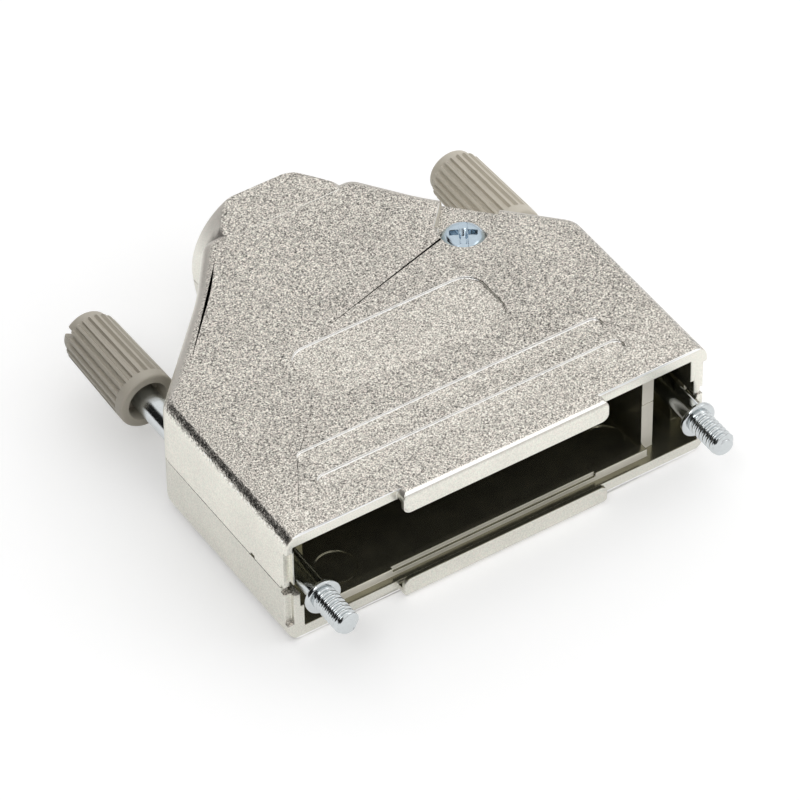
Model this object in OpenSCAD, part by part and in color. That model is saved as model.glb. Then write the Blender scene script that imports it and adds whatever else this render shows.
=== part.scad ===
// Two-part die-cast hood for a 25-way D-shaped cable connector, with two knurled thumbscrews.
// X runs across the hood, +Y from the connector face back to the cable exit, +Z up.
// The origin is the middle of the connector face, on the plane where the flange seats.

/* [Shell] */
// Width over the two side walls
body_width = 52.6; // [52:0.1:56]
// Height over the two flat faces
body_height = 15.2; // [14.8:0.1:17]
// Length of each straight side wall
side_length = 24.4; // [23:0.1:28]
// Distance from the connector face to the bend in each slope
bend_y = 36.8; // [36:0.1:40]
// Width across the hood at that bend
bend_width = 28.8; // [27:0.1:31]
// Distance from the connector face to the shoulder at the cable end
shoulder_y = 43.6; // [43.2:0.1:48]
// Width of the shoulder
shoulder_width = 19; // [18:0.1:20]
// Thickness of the walls
wall = 1.6; // [1.4:0.05:1.8]
// Radius of the rounded edge round the flat faces
edge_radius = 1.8; // [1:0.1:2.2]
// Radius of the upright corners where sides and slopes meet
corner_radius = 2.6; // [2.3:0.1:3.5]
// Radius of the upright corners at the shoulder
shoulder_radius = 2.3; // [2.25:0.05:3]
// Radius of the hollow bend in each slope
bend_radius = 34; // [20:1:50]
// Height of the parting line above the middle on the right wall, and below it on the left
parting_step = 0.5; // [0.3:0.05:0.8]
// Depth of the rebate in the front ends of the side walls
rebate_depth = 0.6; // [0.3:0.05:1]
// Thickness of the wall's outer layer, which that rebate takes back
rebate_width = 0.8; // [0.6:0.05:0.95]
// Width of the rail that thickens one side wall beside the thumbscrew
rail_width = 0.45; // [0.2:0.05:0.5]
// Length of the window at the front of the parting line
window_length = 0.75; // [0.4:0.05:1.2]

/* [Cable collar] */
// Length of the collar behind the shoulder
collar_length = 4; // [2:0.1:6]
// Radius of the collar where it leaves the shoulder
collar_base_radius = 10.4; // [10:0.1:11]
// Radius of the collar at its rear edge
collar_end_radius = 8.5; // [8:0.1:9.4]
// Diameter of the cable passage
cable_bore = 9.6; // [8:0.1:10.4]

/* [Connector seat] */
// Thickness of the connector flange that the lips hold
flange_thickness = 0.8; // [0.5:0.05:1]
// Height of that flange
flange_height = 12.55; // [12.3:0.05:12.6]
// Length of each lip across the hood
lip_length = 25.6; // [20:0.1:28]
// Thickness of each lip in front of the flange
lip_thickness = 0.6; // [0.4:0.05:0.9]
// Clear height between the upper and the lower lip
lip_gap = 9.7; // [9:0.1:10.4]
// Radius of each lip's outer edge
lip_edge_radius = 0.9; // [0.5:0.05:1]
// Length of the stiffening rib behind the flange
rib_length = 39; // [34:0.5:39]
// Height of that rib above the inner face
rib_height = 1; // [0.6:0.1:1.3]
// Thickness of that rib
rib_thickness = 1.1; // [0.8:0.1:1.4]
// Depth of the step along the middle of the rib's front face
rib_step = 0.35; // [0.2:0.05:0.6]
// Distance from the connector face to the rib
rib_y = 0.9; // [0.7:0.1:1.4]

/* [Flat face] */
// Depth of the pad and the two grooves
relief_depth = 0.3; // [0.15:0.05:0.5]
// Width of the rounded pad
pad_width = 23.8; // [16:0.1:26]
// Length of the rounded pad along the hood
pad_length = 8.2; // [6:0.1:9]
// Distance from the connector face to the pad's middle
pad_y = 19.1; // [18.5:0.1:20]
// Corner radius of the pad
pad_radius = 2.3; // [1:0.1:2.8]
// Length of the front groove over its round ends
groove_length = 38; // [30:0.1:40]
// Width of each groove
groove_width = 1.95; // [1:0.05:2.2]
// Distance from the connector face to the front groove
groove_y = 5.1; // [4.5:0.1:5.5]
// Distance between the two grooves
groove_pitch = 4; // [3:0.1:4.4]

/* [Case screws] */
// Distance of each case screw from the middle plane
screw_x = 14.7; // [14.3:0.1:15]
// Distance of each case screw from the connector face
screw_y = 29.1; // [28.8:0.1:29.4]
// Thread diameter of the case screws
screw_diameter = 2.5; // [2:0.1:2.6]
// Head diameter of the case screws
head_diameter = 4.9; // [4.4:0.1:5]
// Head height of the case screws
head_height = 1.7; // [1.4:0.1:1.8]
// Length of the case screws under the head
screw_length = 9.5; // [8:0.1:10.5]
// Width of the open pocket round each head
pocket_width = 6.5; // [5.8:0.1:6.6]
// Depth of that pocket below the flat face
pocket_depth = 1.65; // [1.4:0.05:1.8]
// Further depth of the round seat under the head
seat_depth = 0.35; // [0.2:0.05:0.5]
// Direction in which the pocket runs out of the slope
pocket_angle = 47; // [45:1:50]
// Direction of the slot in each screw's head
slot_angle = 59; // [0:1:180]
// Wall round the screw holes and the pocket
boss_wall = 1.3; // [1:0.05:1.4]

/* [Thumbscrews] */
// Distance of each thumbscrew's axis from the hood's side
thumbscrew_inset = 2.78; // [2.7:0.02:2.9]
// Diameter of the plain shaft
shaft_diameter = 3; // [2.8:0.05:3.1]
// Diameter over the thread at the front
thread_diameter = 2.84; // [2.6:0.02:2.84]
// Length of the threaded end
thread_length = 4.75; // [4:0.05:6]
// Diameter of the collar behind the thread
stop_diameter = 4.2; // [3.8:0.05:4.4]
// Length of that collar
stop_length = 0.6; // [0.5:0.05:1]
// Gap between the collar and the connector face
stop_gap = 2.15; // [1.7:0.05:2.2]
// Diameter of the neck behind the collar
neck_diameter = 2.5; // [2:0.1:2.7]
// Distance from the connector face to the end of that neck
neck_end_y = 7.6; // [6:0.1:7.8]
// Radial clearance of the shaft in its bearings
shaft_clearance = 0.08; // [0.05:0.01:0.1]

/* [Knobs] */
// Length of each knob
knob_length = 13.2; // [11:0.1:13.5]
// Distance from the connector face to the front of each knob
knob_y = 32.05; // [31:0.05:33]
// Diameter of the knob at its front rim
knob_front_diameter = 6.8; // [6.4:0.05:7]
// Diameter of the knob at its rear
knob_rear_diameter = 6.3; // [6:0.05:6.4]
// Diameter of the knob's plain rear end
knob_end_diameter = 5.5; // [5:0.1:5.8]
// Length of that plain end
knob_end_length = 1.1; // [0.6:0.1:1.4]
// Length of the plain rim at the front
knob_rim = 1.2; // [0.8:0.1:1.6]
// Number of grip flutes round each knob
flute_count = 22; // [16:1:24]
// Radius of each flute
flute_radius = 0.26; // [0.18:0.02:0.3]
// Diameter of the recess round the shaft in the knob's front
knob_recess_diameter = 4.6; // [4:0.1:4.8]
// Depth of that recess
knob_recess_depth = 2; // [1:0.1:2.5]
// Width of the screwdriver slot in the knob's rear
slot_width = 1; // [0.8:0.1:1.2]
// Depth of that slot
slot_depth = 1.6; // [1:0.1:1.8]

/* [Strain relief] */
// Distance from the connector face to the middle of the cable clamp
clamp_y = 38.2; // [37.8:0.1:38.6]
// Width of the two clamp saddles
clamp_width = 15.6; // [15:0.1:15.8]
// Length of the saddles along the cable
clamp_length = 4; // [3.6:0.1:4.4]
// Diameter of the grooves that grip the cable
clamp_groove = 7; // [6:0.1:7.4]
// Gap between the saddles
clamp_gap = 1; // [0.6:0.1:1.4]
// Distance of each clamp screw from the saddles' ends
clamp_screw_inset = 2; // [1.8:0.1:2.2]
// Thread diameter of the clamp screws
clamp_screw_diameter = 2; // [1.6:0.1:2.2]

/* [Hidden] */
$fn = 48;

half_width = body_width / 2;
half_height = body_height / 2;
inner_half_height = half_height - wall;
shaft_x = half_width - thumbscrew_inset;
clamp_screw_x = clamp_width / 2 - clamp_screw_inset;
collar_end_y = shoulder_y + collar_length;
bearing_radius = shaft_diameter / 2 + shaft_clearance;
corner_steps = 5;   // straight pieces in each upright corner's arc
edge_steps = 6;     // straight pieces in the rounded edge
over = 1;           // how far a cutter runs past what it cuts
sink = 0.3;         // how far a feature is sunk into the wall that carries it
joint_gap = 0.06;   // clearance in the tongue joint and round seated pieces
screw_clearance = 0.25;  // clearance round the screws that pass through a part
tongue = wall / 2;  // thickness of the tongue inside the parting line

// ---- Outline of the hood seen from above ----

// Corners from the front left, each [x, y, arc radius, +1 where it bulges or -1 where it is hollow]
corners = [
    [-half_width, 0, 0, 1],
    [half_width, 0, 0, 1],
    [half_width, side_length, corner_radius, 1],
    [bend_width / 2, bend_y, bend_radius, -1],
    [shoulder_width / 2, shoulder_y, shoulder_radius, 1],
    [-shoulder_width / 2, shoulder_y, shoulder_radius, 1],
    [-bend_width / 2, bend_y, bend_radius, -1],
    [-half_width, side_length, corner_radius, 1]
];

function at(i) = [corners[i % len(corners)].x, corners[i % len(corners)].y];
function unit(v) = v / norm(v);
function along(i) = unit(at(i + 1) - at(i));
function left_of(v) = [-v.y, v.x];
// Edge 0 is the connector face: it stays in place, or moves forward by `front`
function edge_shift(i, inset, front) = i % len(corners) == 0 ? -front : inset;
// Corner i after both of its edges have moved inwards
function moved_corner(i, inset, front) =
    let (before = i + len(corners) - 1,
         a = along(before), b = along(i),
         p = at(i) + left_of(a) * edge_shift(before, inset, front),
         q = at(i) + left_of(b) * edge_shift(i, inset, front),
         t = cross(q - p, b) / cross(a, b))
    p + a * t;
// Points of corner i, a single one where it is sharp
function corner_arc(i, inset, front) =
    corners[i][2] == 0 ? [moved_corner(i, inset, front)] :
    let (side = corners[i][3],
         r = max(0.02, corners[i][2] - side * inset),
         a = along(i + len(corners) - 1), b = along(i),
         turn = acos(a * b),
         centre = moved_corner(i, inset, front) - a * r * tan(turn / 2) + left_of(a) * r * side,
         start = atan2(a.y, a.x) - side * 90)
    [for (k = [0:corner_steps]) centre + r * [cos(start + side * turn * k / corner_steps),
                                              sin(start + side * turn * k / corner_steps)]];
// The whole outline, moved inwards by inset, with its connector face moved forward by front
function outline(inset, front = 0) =
    [for (i = [0:len(corners) - 1]) each corner_arc(i, inset, front)];

// Skin over a stack of outlines, each entry [inset, z]
module loft(levels) {
    rings = [for (level = levels) [for (p = outline(level[0])) [p.x, p.y, level[1]]]];
    n = len(rings[0]);
    sides = [for (k = [0:len(rings) - 2], j = [0:n - 1])
        [k * n + j, (k + 1) * n + j, (k + 1) * n + (j + 1) % n, k * n + (j + 1) % n]];
    polyhedron(points = [for (ring = rings) each ring],
               faces = concat([[for (j = [0:n - 1]) j]],
                              sides,
                              [[for (j = [n - 1:-1:0]) (len(rings) - 1) * n + j]]));
}

// ---- Small helpers ----

// Cylinder along +Y from y = from to y = to
module rod(diameter, from, to) {
    translate([0, from, 0]) rotate([-90, 0, 0]) cylinder(d = diameter, h = to - from);
}

// Turned shape whose profile lists [radius, y]
module turned(profile) {
    rotate([-90, 0, 0]) rotate_extrude() polygon(profile);
}

module rounded_rectangle(size, r) {
    square([size.x - 2 * r, size.y], center = true);
    square([size.x, size.y - 2 * r], center = true);
    for (x = [-1, 1], y = [-1, 1])
        translate([x * (size.x / 2 - r), y * (size.y / 2 - r)]) circle(r = r);
}

// Box from its lowest to its highest corner
module block(low, high) {
    translate(low) cube(high - low);
}

// ---- One half of the hood, flat face up ----

module outer_skin() {
    loft(concat([[0, -2 * parting_step]],
                [for (k = [0:edge_steps]) let (a = 90 * k / edge_steps)
                    [edge_radius * (1 - cos(a)), half_height - edge_radius * (1 - sin(a))]]));
}

// Conical collar round the cable exit, cut flat where it meets the flat face
module cable_collar() {
    round_r = 0.3;   // rounding of the collar's free edge
    margin = 0.2;    // strip of the shoulder left clear on each side
    intersection() {
        turned([[0, shoulder_y - wall], [collar_base_radius, shoulder_y - wall],
                [collar_base_radius, shoulder_y],
                [collar_end_radius + round_r, collar_end_y - 1.5 * round_r],
                [collar_end_radius, collar_end_y - round_r / 2],
                [collar_end_radius - round_r, collar_end_y], [0, collar_end_y]]);
        block([-shoulder_width / 2 + margin, shoulder_y - wall, -2 * parting_step],
              [shoulder_width / 2 - margin, collar_end_y, half_height]);
    }
}

// Lip that reaches forward and hooks over the connector's flange
module flange_lip() {
    front = flange_thickness + lip_thickness;
    seat_z = flange_height / 2 + joint_gap;
    steps = 6;
    profile = concat(
        [[sink, half_height], [sink, seat_z], [-flange_thickness, seat_z],
         [-flange_thickness, lip_gap / 2], [-front, lip_gap / 2]],
        [for (k = [0:steps]) let (a = 90 * k / steps)
            [-front + lip_edge_radius * (1 - cos(a)), half_height - lip_edge_radius * (1 - sin(a))]]);
    intersection() {
        rotate([90, 0, 90]) linear_extrude(lip_length, center = true) polygon(profile);
        translate([0, sink, 0]) rotate([90, 0, 0]) linear_extrude(front + sink) {
            translate([0, (half_height + lip_gap / 2) / 2])
                rounded_rectangle([lip_length, half_height - lip_gap / 2], lip_edge_radius);
        }
    }
}

// Rib that backs the connector behind its flange, stepped between the ends of the lip
module seat_rib() {
    low = inner_half_height - rib_height;
    difference() {
        block([-rib_length / 2, rib_y, low],
              [rib_length / 2, rib_y + rib_thickness, inner_half_height + sink]);
        block([-lip_length / 2, rib_y - over, low - over],
              [lip_length / 2, rib_y + rib_step, inner_half_height - rib_height / 2]);
    }
}

// Walls and bearings that guide one thumbscrew, at +X, the wall from y = front
guide_wall = 1.5;                // thickness of the wall beside the thumbscrew
guide_gap = 1.1;                 // clear width between that wall and the shaft
front_bearing_y = 8;             // where the front bearing begins
front_bearing_length = 2;
rear_bearing_length = 4;
rear_bearing_y = side_length + 1 - rear_bearing_length;  // ends 1 mm past the straight side wall
guide_fronts = [2, front_bearing_y];  // front ends of the right-hand and the left-hand wall
module thumbscrew_guides(front) {
    inner_x = shaft_x - shaft_diameter / 2 - guide_gap - guide_wall;
    outer_x = half_width - wall + sink;
    root = inner_half_height + sink;
    rear_end = rear_bearing_y + rear_bearing_length;
    block([inner_x, front, -parting_step], [inner_x + guide_wall, rear_end, root]);
    block([inner_x, front_bearing_y, -parting_step],
          [outer_x, front_bearing_y + front_bearing_length, root]);
    block([inner_x, rear_bearing_y, -parting_step], [outer_x, rear_end, root]);
}

// Rail that thickens the right wall above the thumbscrew
module side_rail() {
    block([half_width - wall - rail_width, 0, inner_half_height / 2],
          [half_width - wall + sink, front_bearing_y + sink, inner_half_height + sink]);
}

pocket_reach = 14;  // far enough to run out of the slope
// Solid that carries a screw's pocket, at the screw's place
module pocket_carrier() {
    floor_z = half_height - pocket_depth - seat_depth;
    width = pocket_width + 2 * boss_wall - 2 * sink;
    height = half_height - floor_z + boss_wall - sink;
    translate([screw_x, screw_y, floor_z - boss_wall]) {
        cylinder(d = width, h = height);
        rotate(pocket_angle) translate([0, -width / 2, 0]) cube([pocket_reach, width, height]);
    }
}

// Open pocket, head seat and clearance hole for the screw that enters through this half
module screw_pocket() {
    translate([screw_x, screw_y, half_height - pocket_depth]) rotate(pocket_angle)
        translate([0, -pocket_width / 2, 0]) cube([pocket_reach, pocket_width, pocket_depth + over]);
    translate([screw_x, screw_y, half_height - pocket_depth - seat_depth])
        cylinder(d = head_diameter + 2 * screw_clearance, h = pocket_depth + seat_depth + over);
    translate([screw_x, screw_y, -over])
        cylinder(d = screw_diameter + screw_clearance, h = half_height);
}

boss_diameter = screw_diameter + 2 * boss_wall;
module screw_boss(x) {
    translate([x, screw_y, -parting_step])
        cylinder(d = boss_diameter, h = inner_half_height + parting_step + sink);
}

// Low walls that hold a clamp saddle in place
module clamp_seat() {
    height = 1.8;
    thickness = 1;
    near = clamp_length / 2 + joint_gap;
    for (from = [clamp_y - near - thickness, clamp_y + near])
        block([-clamp_width / 2, from, inner_half_height - height],
              [clamp_width / 2, from + thickness, inner_half_height + sink]);
}

// Inside of the shell, open at the connector face
module cavity() {
    translate([0, 0, -half_height]) linear_extrude(half_height + inner_half_height) polygon(outline(wall, over));
}

// Marks that the ejector pins leave on the inner face
ejector_diameter = 4.6;
ejector_depth = 0.15;
ejector_y = 5.4;       // first pair's distance from the connector face
ejector_pitch = 7.6;   // from one pair to the next
module ejector_marks() {
    for (side = [-1, 1], k = [0, 1])
        translate([side * (screw_x + ejector_diameter / 2), ejector_y + k * ejector_pitch,
                   inner_half_height - over])
            cylinder(d = ejector_diameter, h = over + ejector_depth);
}

module face_relief() {
    translate([0, pad_y, half_height - relief_depth])
        linear_extrude(over) rounded_rectangle([pad_width, pad_length], pad_radius);
    for (k = [0, 1])
        translate([0, groove_y + k * groove_pitch, half_height - relief_depth])
            linear_extrude(over) {
                square([groove_length - groove_width, groove_width], center = true);
                for (side = [-0.5, 0.5])
                    translate([side * (groove_length - groove_width), 0]) circle(d = groove_width);
            }
}

// Everything below the parting surface, which steps from one side wall to the other
module below_parting() {
    block([-half_width - over, -over, -half_height], [0, collar_end_y + over, -parting_step]);
    block([0, -over, -half_height], [half_width + over, collar_end_y + over, parting_step]);
}

// Inner strip of the wall round the parting line, between z = from and z = to
module wall_strip(from, to, grow) {
    translate([0, 0, from]) linear_extrude(to - from) difference() {
        polygon(outline(wall - tongue - grow));
        polygon(outline(wall + grow, over));
    }
}

// Tongue on the right wall and the rebate for the other half's tongue on the left wall
module right_tongue() {
    intersection() {
        wall_strip(-parting_step, parting_step + sink, 0);
        block([cable_bore / 2, 0, -half_height], [half_width, shoulder_y - wall, half_height]);
    }
}
module left_rebate() {
    intersection() {
        wall_strip(-parting_step - over, parting_step + joint_gap, joint_gap);
        block([-half_width, -over, -half_height], [-cable_bore / 2 + joint_gap, shoulder_y - wall, half_height]);
    }
}

// Cuts at the front ends of the side walls
relief_length = 2.3;   // length of the relief beside the thumbscrew's collar
mark_y = 6.4;          // where the short mark in the parting line begins
module front_cuts() {
    outside = half_width + over;
    layer_x = half_width - rebate_width;
    rail_x = half_width - wall - rail_width;
    rebate_z = half_height - edge_radius - 2 * sink;
    relief_z = 2 * parting_step;
    window_y = rebate_depth + window_length;
    // Rebates that take the outer layer back
    block([-outside, -over, -half_height], [-layer_x, rebate_depth, rebate_z]);
    block([layer_x, -over, -half_height], [outside, rebate_depth, rebate_z]);
    // Left wall thinned to its outer layer, where the other half's tongue comes
    block([-layer_x + joint_gap, -over, -half_height],
          [-half_width + wall + joint_gap, front_bearing_y / 2, inner_half_height]);
    // Window and short mark in the parting line
    block([-outside, -over, -half_height], [-layer_x + joint_gap, window_y, 0]);
    block([layer_x, -over, -half_height], [outside, window_y, relief_z]);
    block([-outside, mark_y, -half_height], [-layer_x, mark_y + window_length, -parting_step / 4]);
    // Relief beside the thumbscrew's collar
    block([rail_x - over, -over, -half_height], [layer_x, relief_length, relief_z]);
}

// One half of the hood; each entry of fronts is where a guide wall begins, first the right one
module half_shell(fronts) {
    difference() {
        union() {
            difference() {
                union() {
                    difference() {
                        union() {
                            outer_skin();
                            cable_collar();
                        }
                        cavity();
                    }
                    seat_rib();
                    side_rail();
                    thumbscrew_guides(fronts[0]);
                    mirror([1, 0, 0]) thumbscrew_guides(fronts[1]);
                    screw_boss(screw_x);
                    screw_boss(-screw_x);
                    clamp_seat();
                    intersection() {
                        outer_skin();
                        pocket_carrier();
                    }
                }
                below_parting();
                left_rebate();
            }
            right_tongue();
            flange_lip();
        }
        screw_pocket();
        translate([-screw_x, screw_y, -half_height])
            cylinder(d = screw_diameter + 2 * joint_gap, h = half_height + inner_half_height);
        face_relief();
        ejector_marks();
        rod(cable_bore, shoulder_y - wall - over, collar_end_y + over);
        for (x = [-shaft_x, shaft_x])
            translate([x, 0, 0]) rod(2 * bearing_radius, -over, shoulder_y);
        front_cuts();
    }
}

module top_shell() {
    color([0.74, 0.72, 0.67]) half_shell(guide_fronts);
}

module bottom_shell() {
    color([0.70, 0.68, 0.63]) rotate([0, 180, 0]) half_shell([guide_fronts[1], guide_fronts[0]]);
}

// ---- Fasteners ----

// Pan-head screw with a combined slot and cross, pointing down, head seat at z = 0
module pan_screw(d, length, head_d, head_h) {
    dome_steps = 8;
    rim = 0.35;                  // share of the head's height that stands upright
    crown = 0.45;                // share of the head's radius where the dome ends
    chamfer = 0.3;               // at the screw's point
    wing = 0.36 * head_d;        // half length of the cross
    opening = 0.2 * head_d;      // width of the slot and the cross
    cross_floor = 0.45 * head_h;
    slot_floor = 0.72 * head_h;
    difference() {
        rotate_extrude() polygon(concat(
            [[0, -length], [d / 2 - chamfer, -length], [d / 2, -length + chamfer], [d / 2, 0],
             [head_d / 2, 0], [head_d / 2, head_h * rim]],
            [for (k = [1:dome_steps]) let (a = 90 * k / dome_steps)
                [head_d / 2 * (crown + (1 - crown) * cos(a)), head_h * (rim + (1 - rim) * sin(a))]],
            [[0, head_h]]));
        for (turn = [0, 90]) rotate(turn)
            block([-wing, -opening / 2, cross_floor], [wing, opening / 2, 2 * head_h]);
        block([-head_d, -opening / 2, slot_floor], [head_d, opening / 2, 2 * head_h]);
    }
}

module case_screw() {
    translate([screw_x, screw_y, half_height - pocket_depth - seat_depth])
        rotate(slot_angle) pan_screw(screw_diameter, screw_length, head_diameter, head_height);
}

module case_screw_top() {
    color([0.72, 0.76, 0.80]) case_screw();
}

module case_screw_bottom() {
    color([0.72, 0.76, 0.80]) rotate([0, 180, 0]) case_screw();
}

// ---- Thumbscrews ----

shaft_end_y = knob_y + knob_length - slot_depth - 2 * sink;
module thumbscrew_shaft() {
    stop_front = -stop_gap - stop_length;
    tip = stop_front - thread_length;
    chamfer = 0.35;
    round_r = 0.2;
    turned([[0, tip], [thread_diameter / 2 - chamfer, tip], [thread_diameter / 2, tip + chamfer],
            [thread_diameter / 2, stop_front], [stop_diameter / 2 - round_r, stop_front],
            [stop_diameter / 2, stop_front + round_r], [stop_diameter / 2, -stop_gap - round_r],
            [stop_diameter / 2 - round_r, -stop_gap], [neck_diameter / 2, -stop_gap],
            [neck_diameter / 2, neck_end_y - round_r], [shaft_diameter / 2, neck_end_y],
            [shaft_diameter / 2, shaft_end_y], [0, shaft_end_y]]);
}

module thumbscrew_shaft_left() {
    color([0.78, 0.80, 0.81]) translate([-shaft_x, 0, 0]) thumbscrew_shaft();
}

module thumbscrew_shaft_right() {
    color([0.78, 0.80, 0.81]) translate([shaft_x, 0, 0]) thumbscrew_shaft();
}

// Fluted plastic knob, a little wider at its front rim, with a slot across its rear end
module knob() {
    front_r = knob_front_diameter / 2;
    rear_r = knob_rear_diameter / 2;
    grip_end = knob_y + knob_length - knob_end_length;
    taper = atan((front_r - rear_r) / (knob_length - knob_end_length));
    round_r = 0.5;   // at the rear ends of the grip and of the plain end
    rim_r = 0.2;     // at the front rim
    steps = 4;
    difference() {
        turned(concat(
            [[shaft_diameter / 2, knob_y + knob_recess_depth],
             [knob_recess_diameter / 2, knob_y + knob_recess_depth], [knob_recess_diameter / 2, knob_y],
             [front_r - rim_r, knob_y], [front_r, knob_y + rim_r], [front_r, knob_y + knob_rim]],
            [for (k = [0:steps]) let (a = 90 * k / steps)
                [rear_r - round_r * (1 - cos(a)), grip_end - round_r * (1 - sin(a))]],
            [[knob_end_diameter / 2, grip_end]],
            [for (k = [0:steps]) let (a = 90 * k / steps)
                [knob_end_diameter / 2 - round_r * (1 - cos(a)),
                 knob_y + knob_length - round_r * (1 - sin(a))]],
            [[0, knob_y + knob_length], [0, shaft_end_y], [shaft_diameter / 2, shaft_end_y]]));
        for (i = [0:flute_count - 1])
            rotate([0, i * 360 / flute_count, 0])
                translate([front_r, knob_y + knob_rim, 0]) rotate([0, 0, taper])
                    rod(2 * flute_radius, 0, knob_length);
        block([-knob_front_diameter, knob_y + knob_length - slot_depth, -slot_width / 2],
              [knob_front_diameter, knob_y + knob_length + over, slot_width / 2]);
    }
}

knob_turn = 30;  // how far the screwdriver slots stand from level
module knob_left() {
    color([0.66, 0.62, 0.54]) translate([-shaft_x, 0, 0]) rotate([0, knob_turn, 0]) knob();
}

module knob_right() {
    color([0.66, 0.62, 0.54]) translate([shaft_x, 0, 0]) rotate([0, -knob_turn, 0]) knob();
}

// ---- Strain relief ----

clamp_head_diameter = 1.75 * clamp_screw_diameter;
clamp_head_height = 0.7 * clamp_screw_diameter;
clamp_head_sink = 1.2;                              // depth of each head below the saddle's back
clamp_head_z = inner_half_height - clamp_head_sink - clamp_head_height;
clamp_screw_length = clamp_head_z + inner_half_height - 1;  // ends 1 mm short of the lower saddle's back
module saddle() {
    translate([0, clamp_y + clamp_length / 2, 0]) rotate([90, 0, 0]) linear_extrude(clamp_length)
        difference() {
            translate([-clamp_width / 2, clamp_gap / 2])
                square([clamp_width, inner_half_height - joint_gap - clamp_gap / 2]);
            circle(d = clamp_groove);
        }
}

module clamp_holes(d, from, to) {
    for (x = [-clamp_screw_x, clamp_screw_x])
        translate([x, clamp_y, from]) cylinder(d = d, h = to - from);
}

module clamp_upper() {
    color([0.62, 0.62, 0.60]) difference() {
        saddle();
        clamp_holes(clamp_screw_diameter + screw_clearance, -over, half_height);
        clamp_holes(clamp_head_diameter + screw_clearance, clamp_head_z, half_height);
    }
}

module clamp_lower() {
    color([0.62, 0.62, 0.60]) difference() {
        rotate([0, 180, 0]) saddle();
        clamp_holes(clamp_screw_diameter + 2 * joint_gap, -half_height, over);
    }
}

module clamp_screws() {
    color([0.78, 0.80, 0.81])
        for (x = [-clamp_screw_x, clamp_screw_x])
            translate([x, clamp_y, clamp_head_z])
                pan_screw(clamp_screw_diameter, clamp_screw_length, clamp_head_diameter, clamp_head_height);
}

top_shell();
bottom_shell();
case_screw_top();
case_screw_bottom();
thumbscrew_shaft_left();
thumbscrew_shaft_right();
knob_left();
knob_right();
clamp_upper();
clamp_lower();
clamp_screws();
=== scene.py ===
"""Looks of a two-part die-cast hood for a 25-way cable connector.

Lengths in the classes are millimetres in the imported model's own frame, and meshes are
scaled to metres when they are placed.
"""

import logging
import math
from dataclasses import dataclass, field
from enum import Enum
from typing import Any, Callable, Mapping, Sequence

import bmesh
import bpy
from mathutils import Euler, Matrix, Vector
from mathutils.bvhtree import BVHTree


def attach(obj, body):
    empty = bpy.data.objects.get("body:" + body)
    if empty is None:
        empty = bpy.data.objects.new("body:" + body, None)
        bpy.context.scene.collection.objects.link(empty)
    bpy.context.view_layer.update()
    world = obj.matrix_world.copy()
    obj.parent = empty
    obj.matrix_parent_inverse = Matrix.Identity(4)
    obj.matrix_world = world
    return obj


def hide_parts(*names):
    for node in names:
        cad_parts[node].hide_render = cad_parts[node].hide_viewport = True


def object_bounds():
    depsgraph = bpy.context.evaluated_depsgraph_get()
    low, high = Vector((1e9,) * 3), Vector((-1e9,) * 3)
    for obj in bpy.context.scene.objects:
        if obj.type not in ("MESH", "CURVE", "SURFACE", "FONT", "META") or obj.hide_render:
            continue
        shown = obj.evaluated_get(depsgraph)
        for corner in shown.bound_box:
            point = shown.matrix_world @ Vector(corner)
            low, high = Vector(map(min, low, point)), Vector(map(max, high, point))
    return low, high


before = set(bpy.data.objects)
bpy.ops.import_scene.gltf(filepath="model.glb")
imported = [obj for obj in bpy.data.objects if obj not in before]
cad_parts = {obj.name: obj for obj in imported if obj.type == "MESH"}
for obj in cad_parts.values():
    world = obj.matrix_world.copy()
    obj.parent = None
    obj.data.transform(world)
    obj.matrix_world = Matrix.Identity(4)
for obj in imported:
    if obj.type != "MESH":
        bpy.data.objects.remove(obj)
CAD_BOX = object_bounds()

MM = 0.001
log = logging.getLogger("hood")


class Body(Enum):
    """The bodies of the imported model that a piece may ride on."""

    HOOD = "hood"
    LEFT = "thumbscrew_left"
    RIGHT = "thumbscrew_right"


class Slot(Enum):
    """Names for material slots, which the script doesn't use."""

    CASTING = "nickel_casting"
    ZINC = "bright_zinc"
    STEEL = "turned_steel"
    KNOB = "knob_plastic"
    CLAMP = "clamp_metal"


# ---------------------------------------------------------------- node trees


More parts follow.
